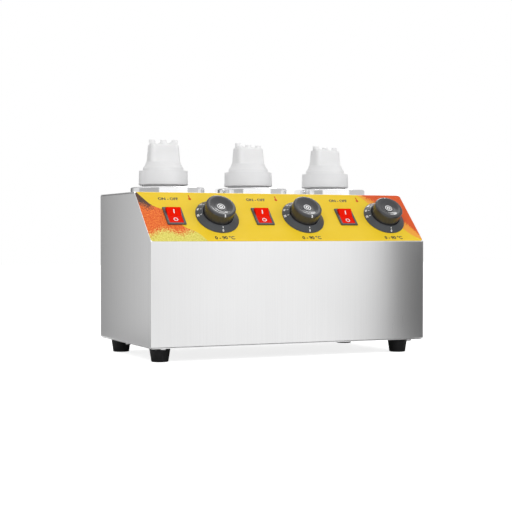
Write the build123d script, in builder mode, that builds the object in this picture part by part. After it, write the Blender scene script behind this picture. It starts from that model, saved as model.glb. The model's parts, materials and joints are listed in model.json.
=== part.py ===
from build123d import *
import os
from math import atan2, cos, hypot, pi, radians, sin, sqrt, tan

os.makedirs("parts", exist_ok=True)

# Countertop warmer for three squeeze bottles of topping. Millimetres, +Z up, the front facing -Y.
# The origin lies on the worktop, under the middle of everything that the warmer spans, its gland included.

# Casing
casing_width = 400.0
casing_depth = 215.0
casing_height = 200.0
slope_run = 65.0
slope_rise = 65.0
sheet = 1.0
sheet_bend = 1.5
rear_bend = 4.0
lip = 13.0
seam_gap = 0.1
rear_panel_margin = 3.0
base_margin = 1.5
decal_thickness = 0.25
decal_margin = 0.5
decal_corner = 4.0

# Feet
foot_height = 20.0
foot_top_radius = 14.0
foot_bottom_radius = 11.0
foot_side_inset = 23.0
foot_front_inset = 31.0
foot_rear_inset = 25.0
foot_recess_radius = 5.5
foot_recess_depth = 9.0
foot_edge_radius = 1.0

# Fasteners: M4 pan-head screws and hexagon nuts
screw_radius = 1.95
tapped_gap = 0.05
clearance_gap = 0.25
head_radius = 4.0
head_height = 2.4
head_edge_radius = 1.5
recess_span = 4.4
recess_width = 0.9
recess_depth = 1.1
nut_flats = 7.0
nut_height = 3.2
front_screw_x = 181.0
edge_screw_inset = 7.0
side_screw_inset = 6.5
rear_screw_pitch = 150.0
rear_screw_side_inset = 8.5
rear_screw_edge = 9.0

# Wells
well_count = 3
well_pitch = 126.0
cup_radius = 45.0
cup_wall = 0.9
cup_lift = 29.0
cup_bottom_bend = 7.0
rim_radius = 51.5
rim_height = 9.0
rim_bend = 1.2
well_hole_gap = 1.0

# Heating
heater_lift = 45.0
heater_height = 60.0
heater_thickness = 3.0
heater_gap = 0.1
heater_slit = 10.0
ear_thickness = 1.2
ear_reach = 13.0
post_radius = 2.0
post_spacing = 20.0
post_length = 8.0
bulb_radius = 3.0
bulb_length = 58.0
bulb_lift = 128.0
bulb_gap = 0.1
capillary_radius = 0.8
clip_thickness = 0.6
clip_height = 8.0

# Controls on the slope, measured from each well's centre and up from the lower bend
switch_offset = -30.5
dial_offset = 29.3
switch_rise = 46.0
dial_rise = 45.0
cutout_width = 22.0
cutout_length = 28.5
bezel_width = 26.0
bezel_length = 31.8
bezel_height = 2.0
bezel_corner = 1.2
housing_gap = 0.15
housing_depth = 20.0
rocker_room_width = 20.0
rocker_room_length = 26.6
rocker_room_depth = 10.0
rocker_side_gap = 0.3
rocker_half_length = 12.0
rocker_valley = 2.4
rocker_tilt = 12.0
rocker_skirt = 4.0
rocker_pivot_height = -0.6
trunnion_radius = 1.2
trunnion_reach = 0.6
running_gap = 0.05
snap_reach = 0.8
snap_width = 8.0
snap_length = 3.4
blade_width = 6.3
blade_thickness = 0.8
blade_length = 8.0

thermostat_width = 40.0
thermostat_length = 34.0
thermostat_depth = 20.0
bracket_width = 46.0
bracket_length = 16.0
bracket_thickness = 1.5
fixing_pitch = 28.0
bush_radius = 4.5
bush_height = 1.5
bush_gap = 0.3
spindle_radius = 3.0
spindle_depth = 10.0
spindle_top = 17.0
spindle_flat = 1.4
flat_length = 10.0

dial_radius = 29.8
dial_lip = 1.0
dial_height = 6.2
dial_mouth_radius = 21.2
dial_mouth_wall = 0.9
dial_web = 1.2
grip_base = 4.4
grip_base_radius = 20.0
grip_top_radius = 20.3
grip_top = 22.0
grip_edge_radius = 2.6
grip_wall = 2.6
grip_hub_radius = 7.0
grip_roof = 16.0
dish_brim_radius = 15.0
dish_brim = 21.8
dish_brim_bend = 8.0
dish_floor_radius = 8.2
dish_floor = 18.9
dish_bend = 12.0
disc_radius = 5.6
disc_step = 0.5
pointer_width = 1.8
pointer_start = 17.0
pointer_end = 18.9
pointer_depth = 0.5
knob_turns = (0.0, 0.0, 180.0)

# Squeeze bottles as heights above the casing's lower edge, their nozzles as heights above the screw
# rings' tops, and the cut tips as heights above the nozzles' towers
bottle_radius = 37.0
bottle_wall = 1.6
bottle_base_bend = 7.0
bottle_seat_gap = 0.3
shoulder_start = 192.0
shoulder_end = 202.0
shoulder_bend = 18.0
neck_radius = 29.2
neck_bend = 5.0
neck_top = 226.0
thread_pitch = 4.2
thread_turns = 1.5
thread_start = 216.0
thread_height = 1.0
thread_half_width = 1.1
ring_height = 20.0
ring_bottom_radius = 34.2
ring_top_radius = 33.5
ring_edge_radius = 1.6
ring_web = 3.6
moving_gap = 0.3
flange_thickness = 1.8
spigot_length = 5.0
spigot_gap = 0.4
nozzle_wall = 1.8
shoulder_radius = 28.0
shoulder_height = 4.0
shoulder_edge_radius = 2.5
tower_foot_start = 9.5
tower_foot_radius = 24.4
ledge_height = 12.5
ledge_radius = 23.6
tower_base = (43.6, 25.0)
tower_crown = (40.6, 22.2)
tower_bend = 6.0
crown_radius = 1.8
tip_spacing = 16.6
tip_root_radius = 8.4
tip_root_inset = 5.2
tip_root_depth = 1.0
tip_neck_radius = 4.3
tip_nub = 2.0
tip_radius = 3.2
tip_bore_radius = 1.6
bottle_shifts = ((-4.2, 5.0), (-2.0, 4.4), (-4.5, 5.0))
nozzle_turns = (0.0, 7.0, 8.0)
tower_heights = (36.4, 35.0, 35.0)
tip_heights = ((6.6, 6.3, 6.7), (6.6, 4.8, 4.2), (5.5, 4.3, 4.4))

# Cord gland and terminals
gland_x = 63.0
gland_lift = 30.0
gland_barrel_radius = 7.8
gland_hole_gap = 0.2
gland_hex = 20.0
gland_flange = 4.0
gland_neck_length = 8.0
gland_neck_radius = 7.6
gland_bore = 5.5
gland_cap_length = 12.0
gland_cap_wall = 2.4
gland_cap_mouth = 4.6
gland_tail = 11.0
locknut_height = 4.0
seal_wall = 1.65
cord_radius = 3.75
block_poles = 6
block_pitch = 8.0
block_depth = 18.0
block_height = 15.0
block_front_inset = 40.0
block_screw_radius = 2.2
block_screw_sink = 1.0
port_radius = 1.6
port_depth = 3.0
port_lift = 6.0
earth_x = 100.0
earth_inset = 30.0
earth_height = 12.0
wire_radius = 1.2
wire_step = 3.2
wire_row_step = 4.8
wire_bend_share = 0.45
wire_floor = 6.5
wire_front = 38.0
wire_clearance = 14.0

# Vents
vent_count = 7
vent_pitch = 9.0
vent_length = 28.0
vent_width = 4.0
rear_vent_drop = 38.0
base_vent_inset = 66.0

# Places worked out from the sizes above
casing_z = foot_height
top_z = casing_z + casing_height
bend_z = top_z - slope_rise
gland_reach = gland_flange + gland_cap_length
front_y = -(casing_depth + sheet + gland_reach) / 2
rear_y = front_y + casing_depth
rear_face = rear_y + sheet
half_width = casing_width / 2
slope_angle = atan2(slope_rise, slope_run)
slope_length = hypot(slope_run, slope_rise)
skin = sheet + seam_gap
lip_end = half_width - lip - seam_gap
well_y = front_y + (slope_run + casing_depth) / 2
well_xs = [(i - (well_count - 1) / 2) * well_pitch for i in range(well_count)]
slope = Plane(
    origin=(0, front_y, bend_z),
    x_dir=(1, 0, 0),
    z_dir=(0, -sin(slope_angle), cos(slope_angle)),
)


def save(built, label):
    """Labels a finished piece and writes it as a STEP file of the same name."""
    built.part.label = label
    export_step(built.part, f"parts/{label}.step")


def turned(plane, turn):
    """The plane, turned about its own normal by an angle in degrees."""
    x_dir = plane.x_dir * cos(radians(turn)) + plane.y_dir * sin(radians(turn))
    return Plane(origin=plane.origin, x_dir=x_dir, z_dir=plane.z_dir)


def on_slope(u, v, height=0.0, turn=0.0):
    """Plane on the slope: u across, v up from the lower bend, height out of its outer face."""
    spot = slope.from_local_coords((u, v, height))
    return turned(Plane(origin=spot, x_dir=slope.x_dir, z_dir=slope.z_dir), turn)


def across_slope(u, v, height=0.0):
    """Plane across the slope's width at u, v and a height: x up the slope, y out of it."""
    return Plane(origin=slope.from_local_coords((u, v, height)), x_dir=slope.y_dir, z_dir=slope.x_dir)


def beside_slope(u, v):
    """Plane through the slope's normal at u, v: x across the slope, y out of it."""
    spot = slope.from_local_coords((u, v, 0))
    return Plane(origin=spot, x_dir=slope.x_dir, z_dir=-slope.y_dir)


def upright(x, y):
    """Vertical plane facing the front, with its origin at floor level under x, y."""
    return Plane(origin=(x, y, 0), x_dir=(1, 0, 0), z_dir=(0, -1, 0))


def level(x, y, z, turn=0.0):
    """Horizontal plane at a point, turned about the vertical."""
    return turned(Plane(origin=(x, y, z)), turn)


def facing(x, y, z, direction):
    """Plane at a point, with its normal along direction."""
    return Plane(origin=(x, y, z), z_dir=direction)


def pan_head_screws(planes, shank_length):
    """Pan-head screws, one a plane: the heads stand out along its normal, the shanks run the other way."""
    with BuildPart() as screws:
        with BuildSketch(*planes):
            Circle(head_radius)
        extrude(amount=head_height)
        tops = [screws.faces().sort_by_distance(p.origin + p.z_dir * head_height)[0] for p in planes]
        fillet([top.edges() for top in tops], head_edge_radius)
        with BuildSketch(*[p.offset(head_height) for p in planes]):
            Rectangle(recess_span, recess_width)
            Rectangle(recess_width, recess_span)
        extrude(amount=-recess_depth, mode=Mode.SUBTRACT)
        with BuildSketch(*planes):
            Circle(screw_radius)
        extrude(amount=-shank_length)
    return screws.part


def hexagon_nuts(planes):
    """Hexagon nuts, one a plane, each standing on it along its normal."""
    with BuildPart() as nuts:
        with BuildSketch(*planes):
            RegularPolygon(radius=nut_flats / 2, side_count=6, major_radius=False)
            Circle(screw_radius + tapped_gap, mode=Mode.SUBTRACT)
        extrude(amount=nut_height)
    return nuts.part


# ---------------------------------------------------------------- casing
tapped_radius = screw_radius + tapped_gap
clear_radius = screw_radius + clearance_gap
mid_y = front_y + casing_depth / 2
mid_z = casing_z + casing_height / 2
front_screws = [(x, front_y + edge_screw_inset) for x in (-front_screw_x, front_screw_x)]
side_screws = [(x, mid_y) for x in (side_screw_inset - half_width, half_width - side_screw_inset)]
rear_columns = (-rear_screw_pitch, 0.0, rear_screw_pitch)
rear_top_screws = [(x, top_z - rear_screw_edge) for x in rear_columns]
rear_low_screws = [(x, casing_z + rear_screw_edge) for x in rear_columns]
rear_side_x = half_width - rear_screw_side_inset
rear_side_screws = [(x, mid_z) for x in (-rear_side_x, rear_side_x)]
switch_xs = [x + switch_offset for x in well_xs]
dial_xs = [x + dial_offset for x in well_xs]


def control_holes(height):
    """Sketch of every hole through the slope, drawn at a height above its outer face."""
    with BuildSketch(on_slope(0, 0, height)) as holes:
        with Locations(*[(x, switch_rise) for x in switch_xs]):
            Rectangle(cutout_width, cutout_length)
        with Locations(*[(x, dial_rise) for x in dial_xs]):
            Circle(bush_radius + bush_gap)
            with GridLocations(fixing_pitch, 0, 2, 1):
                Circle(clear_radius)
    return holes.sketch


def side_outline(skin_inset, bottom_inset, rear_inset):
    """Corners of the casing seen from the side, each face moved inward."""
    low_shift = skin_inset * tan((pi / 2 - slope_angle) / 2)
    high_shift = skin_inset * tan(slope_angle / 2)
    return [
        (front_y + skin_inset, casing_z + bottom_inset),
        (front_y + skin_inset, bend_z - low_shift),
        (front_y + slope_run + high_shift, top_z - skin_inset),
        (rear_y - rear_inset, top_z - skin_inset),
        (rear_y - rear_inset, casing_z + bottom_inset),
    ]


def make_wrapper():
    """Front, slope and top in one folded sheet, with a lip under the front and one down the back."""
    with BuildPart() as wrapper:
        with BuildSketch(Plane.YZ):
            with BuildLine():
                FilletPolyline(
                    (front_y + lip, casing_z),
                    (front_y, casing_z),
                    (front_y, bend_z),
                    (front_y + slope_run, top_z),
                    (rear_y, top_z),
                    (rear_y, top_z - lip),
                    radius=[sheet_bend, sheet_bend, sheet_bend, rear_bend],
                )
                offset(amount=sheet, side=Side.RIGHT)
            make_face()
        extrude(amount=half_width, both=True)
        notch_width = half_width - lip_end
        notch_x = half_width - notch_width / 2
        with BuildSketch(Plane.XY.offset(casing_z)):
            with Locations((-notch_x, front_y + sheet), (notch_x, front_y + sheet)):
                Rectangle(notch_width, 2 * lip, align=(Align.CENTER, Align.MIN))
        extrude(amount=sheet_bend, mode=Mode.SUBTRACT)
        with BuildSketch(Plane.XY.offset(top_z - 2 * lip)):
            with Locations((-notch_x, rear_y), (notch_x, rear_y)):
                Rectangle(notch_width, 2 * rear_bend)
        extrude(amount=3 * lip, mode=Mode.SUBTRACT)
        with BuildSketch(Plane.XY.offset(top_z)):
            with Locations(*[(x, well_y) for x in well_xs]):
                Circle(cup_radius + well_hole_gap)
        extrude(amount=-2 * sheet, mode=Mode.SUBTRACT)
        extrude(to_extrude=control_holes(sheet), amount=-3 * sheet, mode=Mode.SUBTRACT)
        with BuildSketch(Plane.XY.offset(casing_z)):
            with Locations(*front_screws):
                Circle(tapped_radius)
        extrude(amount=2 * sheet, mode=Mode.SUBTRACT)
        with BuildSketch(upright(0, rear_y)):
            with Locations(*rear_top_screws):
                Circle(tapped_radius)
        extrude(amount=2 * sheet, mode=Mode.SUBTRACT)
    return wrapper


def make_side_panel(side):
    """Side panel folded as a shallow pan, its lips lying inside the wrapper and behind the rear panel."""
    with BuildPart() as panel:
        with BuildSketch(Plane.YZ.offset(side * half_width)):
            with BuildLine():
                Polyline(*side_outline(skin, 0, 0), close=True)
            make_face()
        extrude(amount=-side * lip)
        with BuildSketch(Plane.YZ.offset(side * (half_width - sheet))):
            with BuildLine():
                Polyline(*side_outline(skin + sheet, sheet, sheet), close=True)
            make_face()
        extrude(amount=-side * lip, mode=Mode.SUBTRACT)
        uprights = panel.edges().filter_by(Axis.Z).group_by(Axis.Y)
        outer_rear = uprights[-1].sort_by(Axis.X)[0 if side < 0 else -1]
        inner_rear = uprights[-2].sort_by(Axis.X)[0 if side < 0 else -1]
        fillet(outer_rear, rear_bend)
        fillet(inner_rear, rear_bend - sheet)
        outside = panel.faces().filter_by(Plane.YZ).sort_by(Axis.X)[0 if side < 0 else -1]
        runs = outside.edges().filter_by(Axis.Y).sort_by(Axis.Z)
        fillet([runs[0], runs[-1]], sheet_bend)
        with BuildSketch(Plane.XY.offset(casing_z)):
            with Locations(side_screws[0 if side < 0 else 1]):
                Circle(tapped_radius)
        extrude(amount=2 * sheet, mode=Mode.SUBTRACT)
        with BuildSketch(upright(0, rear_y)):
            with Locations(rear_side_screws[0 if side < 0 else 1]):
                Circle(tapped_radius)
        extrude(amount=2 * sheet, mode=Mode.SUBTRACT)
    return panel


def make_rear_panel():
    width = casing_width - 2 * rear_bend
    low, high = casing_z + rear_panel_margin, top_z - rear_panel_margin
    with BuildPart() as panel:
        with BuildSketch(upright(0, rear_face)):
            with Locations((0, (low + high) / 2)):
                RectangleRounded(width, high - low, rear_panel_margin)
            with Locations(*rear_top_screws, *rear_low_screws, *rear_side_screws):
                Circle(clear_radius, mode=Mode.SUBTRACT)
            with Locations((gland_x, casing_z + gland_lift)):
                Circle(gland_barrel_radius + gland_hole_gap, mode=Mode.SUBTRACT)
            with Locations(*[(x, top_z - rear_vent_drop) for x in well_xs]):
                with GridLocations(vent_pitch, 0, vent_count, 1):
                    SlotOverall(vent_length, vent_width, rotation=90, mode=Mode.SUBTRACT)
        extrude(amount=sheet)
    return panel


def make_base_plate():
    """Floor of the casing, under the lips, turned up behind to carry the rear panel."""
    flat_front = front_y + base_margin
    with BuildPart() as plate:
        with BuildSketch(Plane.YZ):
            with BuildLine():
                FilletPolyline(
                    (flat_front, casing_z - sheet),
                    (rear_y, casing_z - sheet),
                    (rear_y, casing_z + lip),
                    radius=sheet_bend,
                )
                offset(amount=sheet, side=Side.LEFT)
            make_face()
        extrude(amount=half_width - base_margin, both=True)
        notch_width = half_width - lip_end
        notch_x = half_width - notch_width / 2
        with BuildSketch(Plane.XY.offset(casing_z - sheet)):
            with Locations((-notch_x, rear_y), (notch_x, rear_y)):
                Rectangle(notch_width, 2 * rear_bend)
        extrude(amount=2 * lip, mode=Mode.SUBTRACT)
        with BuildSketch(Plane.XY.offset(casing_z)):
            with Locations(*front_screws, *side_screws, *foot_places):
                Circle(clear_radius)
            with Locations((earth_x, rear_y - earth_inset)):
                Circle(tapped_radius)
            with Locations(*[(x, front_y + base_vent_inset) for x in well_xs]):
                with GridLocations(vent_pitch, 0, vent_count, 1):
                    SlotOverall(vent_length, vent_width, rotation=90)
        extrude(amount=-2 * sheet, mode=Mode.SUBTRACT)
        with BuildSketch(upright(0, rear_y)):
            with Locations(*rear_low_screws):
                Circle(tapped_radius)
        extrude(amount=2 * sheet, mode=Mode.SUBTRACT)
    return plate


def make_decal():
    """Printed overlay on the slope, its lower corners rounded."""
    width = casing_width - 2 * decal_margin
    with BuildPart() as decal:
        with BuildSketch(on_slope(0, 0)) as outline:
            with Locations((0, decal_margin)):
                Rectangle(width, slope_length - 2 * decal_margin, align=(Align.CENTER, Align.MIN))
            fillet(outline.vertices().group_by(Axis.Z)[0], decal_corner)
        extrude(amount=decal_thickness)
        holes = control_holes(2 * decal_thickness)
        extrude(to_extrude=holes, amount=-3 * decal_thickness, mode=Mode.SUBTRACT)
    return decal


foot_xs = (foot_side_inset - half_width, half_width - foot_side_inset)
foot_ys = (front_y + foot_front_inset, rear_y - foot_rear_inset)
foot_places = [(x, y) for y in foot_ys for x in foot_xs]
foot_names = ("front_left", "front_right", "rear_left", "rear_right")
foot_top = casing_z - sheet

save(make_wrapper(), "casing_wrapper")
save(make_side_panel(-1), "left_side_panel")
save(make_side_panel(1), "right_side_panel")
save(make_rear_panel(), "rear_panel")
save(make_base_plate(), "base_plate")
save(make_decal(), "control_decal")

with BuildPart() as casing_screws:
    below = [facing(x, y, foot_top, (0, 0, -1)) for x, y in front_screws + side_screws]
    behind = [
        facing(x, rear_face, z, (0, 1, 0)) for x, z in rear_top_screws + rear_low_screws + rear_side_screws
    ]
    add(pan_head_screws(below + behind, 2 * sheet + nut_height))
save(casing_screws, "casing_screws")


# ---------------------------------------------------------------- feet
def make_foot(x, y):
    """Tapered rubber foot with a screw recess in its underside."""
    with BuildPart() as foot:
        with BuildSketch(upright(x, y)) as profile:
            with BuildLine():
                Polyline(
                    (clear_radius, foot_recess_depth),
                    (foot_recess_radius, foot_recess_depth),
                    (foot_recess_radius, 0),
                    (foot_bottom_radius, 0),
                    (foot_top_radius, foot_top),
                    (clear_radius, foot_top),
                    close=True,
                )
            make_face()
            rims = profile.vertices().sort_by(Axis.X)[-2:]
            fillet(rims, foot_edge_radius)
        revolve(axis=Axis((x, y, 0), (0, 0, 1)))
    return foot


for name, (x, y) in zip(foot_names, foot_places):
    save(make_foot(x, y), f"rubber_foot_{name}")

with BuildPart() as foot_bolts:
    seats = [facing(x, y, foot_recess_depth, (0, 0, -1)) for x, y in foot_places]
    add(pan_head_screws(seats, casing_z - foot_recess_depth + nut_height + sheet))
    add(hexagon_nuts([level(x, y, casing_z) for x, y in foot_places]))
save(foot_bolts, "foot_bolts")

# ---------------------------------------------------------------- wells and their heaters
heater_inner = cup_radius + heater_gap
heater_outer = heater_inner + heater_thickness
heater_z = casing_z + heater_lift
heater_mid_z = heater_z + heater_height / 2
ear_screw_y = well_y + heater_outer + ear_reach / 2
post_end_y = well_y - heater_outer - post_length
bulb_y = well_y - cup_radius - bulb_gap - bulb_radius
bulb_z = casing_z + bulb_lift


def make_cup(x):
    """Drawn steel cup: a plain wall whose mouth turns over into a raised rim standing on the casing."""
    floor_z = casing_z + cup_lift
    rim_underside = top_z + rim_height - cup_wall
    skirt_radius = rim_radius - cup_wall
    with BuildPart() as cup:
        with BuildSketch(upright(x, well_y)):
            with BuildLine():
                FilletPolyline(
                    (0, floor_z),
                    (cup_radius, floor_z),
                    (cup_radius, rim_underside),
                    (skirt_radius, rim_underside),
                    (skirt_radius, top_z),
                    radius=[cup_bottom_bend, rim_bend, rim_bend],
                )
                offset(amount=cup_wall, side=Side.LEFT)
            make_face()
        revolve(axis=Axis((x, well_y, 0), (0, 0, 1)))
    return cup


def make_heater(x):
    """Band heater, split behind, with two clamp ears and two terminal posts in front."""
    ear_length = ear_reach + heater_thickness
    ear_x = (heater_slit + ear_thickness) / 2
    with BuildPart() as heater:
        with BuildSketch(level(x, well_y, heater_z)):
            Circle(heater_outer)
            Circle(heater_inner, mode=Mode.SUBTRACT)
            with Locations((0, heater_inner)):
                Rectangle(heater_slit, 3 * heater_thickness, mode=Mode.SUBTRACT)
            with Locations((-ear_x, heater_inner), (ear_x, heater_inner)):
                Rectangle(ear_thickness, ear_length, align=(Align.CENTER, Align.MIN))
            Circle(heater_inner, mode=Mode.SUBTRACT)
        extrude(amount=heater_height)
        with BuildSketch(facing(x, ear_screw_y, heater_mid_z, (1, 0, 0))):
            Circle(clear_radius)
        extrude(amount=heater_slit, both=True, mode=Mode.SUBTRACT)
        posts = [facing(x + s * post_spacing / 2, post_end_y, heater_mid_z, (0, 1, 0)) for s in (-1, 1)]
        with BuildSketch(*posts):
            Circle(post_radius)
        extrude(amount=post_length + heater_thickness)
    return heater


def make_bulb(x, dial_x):
    """Thermostat bulb on the cup's front and the capillary that joins it to the thermostat's back."""
    back = slope.from_local_coords((dial_x, dial_rise, -sheet - bracket_thickness - thermostat_depth))
    tail = Vector(x, bulb_y, bulb_z)
    entry = back - slope.z_dir * wire_clearance
    turn = tail - Vector(0, 0, wire_clearance)
    with BuildPart() as bulb:
        with BuildSketch(level(x, bulb_y, bulb_z)):
            Circle(bulb_radius)
        extrude(amount=bulb_length)
        ends = bulb.faces().filter_by(Axis.Z)
        fillet([face.edges() for face in ends], bulb_radius / 2)
        with BuildLine() as route:
            FilletPolyline(back, entry, turn, tail + Vector(0, 0, bulb_radius), radius=wire_clearance / 4)
        with BuildSketch(Plane(origin=back, z_dir=-slope.z_dir)):
            Circle(capillary_radius)
        sweep(path=route.line)
    return bulb


def make_bulb_clip(x):
    """Spring strap round the cup, with a loop that presses the bulb against it."""
    strap = cup_radius + running_gap
    loop = bulb_radius + running_gap
    offset_y = bulb_y - well_y
    with BuildPart() as clip:
        with BuildSketch(level(x, well_y, bulb_z + bulb_length / 2)):
            Circle(strap + clip_thickness)
            with Locations((0, offset_y)):
                Circle(loop + clip_thickness)
                Rectangle(2 * (loop + clip_thickness), 2 * loop, align=(Align.CENTER, Align.MIN))
            Circle(strap, mode=Mode.SUBTRACT)
            with Locations((0, offset_y)):
                Circle(loop, mode=Mode.SUBTRACT)
                Rectangle(2 * loop, 2 * loop, align=(Align.CENTER, Align.MIN), mode=Mode.SUBTRACT)
        extrude(amount=clip_height)
    return clip


for number, x in enumerate(well_xs, start=1):
    save(make_cup(x), f"well_cup_{number}")
    save(make_heater(x), f"band_heater_{number}")
    save(make_bulb(x, x + dial_offset), f"sensing_bulb_{number}")

with BuildPart() as bulb_clips:
    for x in well_xs:
        add(make_bulb_clip(x).part)
save(bulb_clips, "bulb_clips")

with BuildPart() as heater_bolts:
    ear_face = heater_slit / 2 + ear_thickness
    add(
        pan_head_screws(
            [facing(x + ear_face, ear_screw_y, heater_mid_z, (1, 0, 0)) for x in well_xs],
            2 * ear_face + nut_height + sheet,
        )
    )
    add(hexagon_nuts([facing(x - ear_face, ear_screw_y, heater_mid_z, (-1, 0, 0)) for x in well_xs]))
save(heater_bolts, "heater_bolts")


# ---------------------------------------------------------------- thermostats, dials and knobs
def make_thermostat(x):
    """Thermostat behind the slope: bracket, case and the bush that carries its spindle."""
    case_face = -sheet - bracket_thickness
    with BuildPart() as thermostat:
        with BuildSketch(on_slope(x, dial_rise, -sheet)):
            RectangleRounded(bracket_width, bracket_length, bracket_thickness)
        extrude(amount=-bracket_thickness)
        with BuildSketch(on_slope(x, dial_rise, case_face)):
            RectangleRounded(thermostat_width, thermostat_length, 2 * bracket_thickness)
        extrude(amount=-thermostat_depth)
        with BuildSketch(on_slope(x, dial_rise, -sheet)):
            Circle(bush_radius)
        extrude(amount=sheet + bush_height)
        with BuildSketch(on_slope(x, dial_rise, bush_height)):
            Circle(spindle_radius + running_gap)
        extrude(amount=-bush_height - spindle_depth - 2 * moving_gap, mode=Mode.SUBTRACT)
        with BuildSketch(on_slope(x, dial_rise, -sheet)):
            with GridLocations(fixing_pitch, 0, 2, 1):
                Circle(tapped_radius)
        extrude(amount=-bracket_thickness - nut_height, mode=Mode.SUBTRACT)
    return thermostat


def make_spindle(x, turn):
    """Thermostat spindle with a flat on its outer end."""
    with BuildPart() as spindle:
        with BuildSketch(on_slope(x, dial_rise, -spindle_depth)):
            Circle(spindle_radius)
        extrude(amount=spindle_depth + spindle_top)
        with BuildSketch(on_slope(x, dial_rise, spindle_top, turn)):
            with Locations((0, spindle_flat)):
                Rectangle(3 * spindle_radius, spindle_radius, align=(Align.CENTER, Align.MIN))
        extrude(amount=-flat_length, mode=Mode.SUBTRACT)
    return spindle


def make_dial(x):
    """Fixed dial: a cone-shaped skirt round the knob, on a web that the thermostat's screws hold."""
    seat = decal_thickness
    with BuildPart() as dial:
        with BuildSketch(beside_slope(x, dial_rise)):
            with BuildLine():
                Polyline(
                    (0, seat),
                    (dial_radius, seat),
                    (dial_radius, seat + dial_lip),
                    (dial_mouth_radius + dial_mouth_wall, seat + dial_height),
                    (dial_mouth_radius, seat + dial_height),
                    (dial_mouth_radius, seat + dial_web),
                    (0, seat + dial_web),
                    close=True,
                )
            make_face()
        revolve(axis=Axis(slope.from_local_coords((x, dial_rise, 0)), slope.z_dir))
        with BuildSketch(on_slope(x, dial_rise, seat + dial_web)):
            Circle(bush_radius + bush_gap)
            with GridLocations(fixing_pitch, 0, 2, 1):
                Circle(clear_radius)
        extrude(amount=-2 * dial_web, mode=Mode.SUBTRACT)
    return dial


def make_grip(x, turn):
    """Knob with a dished top, a hollow underside and a hub for the spindle."""
    with BuildPart() as grip:
        with BuildSketch(beside_slope(x, dial_rise)):
            with BuildLine():
                FilletPolyline(
                    (0, grip_base),
                    (grip_base_radius, grip_base),
                    (grip_top_radius, grip_top),
                    (dish_brim_radius, dish_brim),
                    (dish_floor_radius, dish_floor),
                    (disc_radius, dish_floor),
                    radius=[moving_gap, grip_edge_radius, dish_brim_bend, dish_bend],
                )
                Polyline(
                    (disc_radius, dish_floor),
                    (disc_radius, dish_floor + disc_step),
                    (0, dish_floor + disc_step),
                    (0, grip_base),
                )
            make_face()
        revolve(axis=Axis(slope.from_local_coords((x, dial_rise, 0)), slope.z_dir))
        with BuildSketch(on_slope(x, dial_rise, grip_base)):
            Circle(grip_base_radius - grip_wall)
            Circle(grip_hub_radius, mode=Mode.SUBTRACT)
        extrude(amount=grip_roof - grip_base, mode=Mode.SUBTRACT)
        with BuildSketch(on_slope(x, dial_rise, grip_base, turn)):
            Circle(spindle_radius + running_gap)
            with Locations((0, spindle_flat + running_gap)):
                Rectangle(
                    3 * spindle_radius, spindle_radius, align=(Align.CENTER, Align.MIN), mode=Mode.SUBTRACT
                )
        extrude(amount=spindle_top + moving_gap - grip_base, mode=Mode.SUBTRACT)
        with BuildSketch(on_slope(x, dial_rise, grip_base, turn)):
            Circle(spindle_radius + running_gap)
        extrude(amount=spindle_top - flat_length - grip_base + moving_gap, mode=Mode.SUBTRACT)
        face = on_slope(x, dial_rise, 0, turn)
        with BuildSketch(Plane(origin=face.origin, x_dir=-face.y_dir, z_dir=-face.x_dir)):
            with BuildLine():
                FilletPolyline(
                    (pointer_start, grip_top - pointer_depth),
                    (grip_top_radius - pointer_depth, grip_top - pointer_depth),
                    (grip_top_radius - pointer_depth, pointer_end),
                    radius=grip_edge_radius - pointer_depth,
                )
                Polyline(
                    (grip_top_radius - pointer_depth, pointer_end),
                    (grip_top_radius + pointer_depth, pointer_end),
                    (grip_top_radius + pointer_depth, grip_top + pointer_depth),
                    (pointer_start, grip_top + pointer_depth),
                    (pointer_start, grip_top - pointer_depth),
                )
            make_face()
        extrude(amount=pointer_width / 2, both=True, mode=Mode.SUBTRACT)
    return grip


for number, (x, turn) in enumerate(zip(dial_xs, knob_turns), start=1):
    save(make_thermostat(x), f"thermostat_{number}")
    save(make_spindle(x, -turn), f"thermostat_spindle_{number}")
    save(make_dial(x), f"dial_ring_{number}")
    save(make_grip(x, -turn), f"knob_grip_{number}")

with BuildPart() as thermostat_screws:
    web_top = decal_thickness + dial_web
    screw_planes = [
        on_slope(x + s * fixing_pitch / 2, dial_rise, web_top) for x in dial_xs for s in (-1, 1)
    ]
    add(pan_head_screws(screw_planes, web_top + bracket_thickness + 2 * sheet))
save(thermostat_screws, "thermostat_screws")

# ---------------------------------------------------------------- rocker switches
housing_back = -housing_depth
room_floor = decal_thickness + bezel_height - rocker_room_depth


def make_switch_housing(x):
    """Switch housing: bezel on the slope, body through the cut-out, snap fins behind the sheet."""
    body_width = cutout_width - 2 * housing_gap
    body_length = cutout_length - 2 * housing_gap
    with BuildPart() as housing:
        with BuildSketch(on_slope(x, switch_rise, decal_thickness)):
            RectangleRounded(bezel_width, bezel_length, bezel_corner)
        extrude(amount=bezel_height)
        top = housing.faces().sort_by(Axis(slope.origin, slope.z_dir))[-1]
        chamfer(top.edges(), bezel_height / 3)
        with BuildSketch(on_slope(x, switch_rise, decal_thickness)):
            Rectangle(body_width, body_length)
        extrude(amount=housing_back - decal_thickness)
        with BuildSketch(across_slope(x, switch_rise)):
            for end in (-1, 1):
                wall = end * body_length / 2
                latch = -sheet - seam_gap
                with BuildLine():
                    tip = wall + end * snap_reach
                    Polyline((wall, latch), (tip, latch), (wall, latch - snap_length), close=True)
                make_face()
        extrude(amount=snap_width / 2, both=True)
        with BuildSketch(on_slope(x, switch_rise, decal_thickness + bezel_height)):
            Rectangle(rocker_room_width, rocker_room_length)
        extrude(amount=-rocker_room_depth, mode=Mode.SUBTRACT)
        with BuildSketch(across_slope(x, switch_rise, rocker_pivot_height)):
            Circle(trunnion_radius + running_gap)
        socket_reach = rocker_room_width / 2 + trunnion_reach + running_gap
        extrude(amount=socket_reach, both=True, mode=Mode.SUBTRACT)
    return housing


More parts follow.
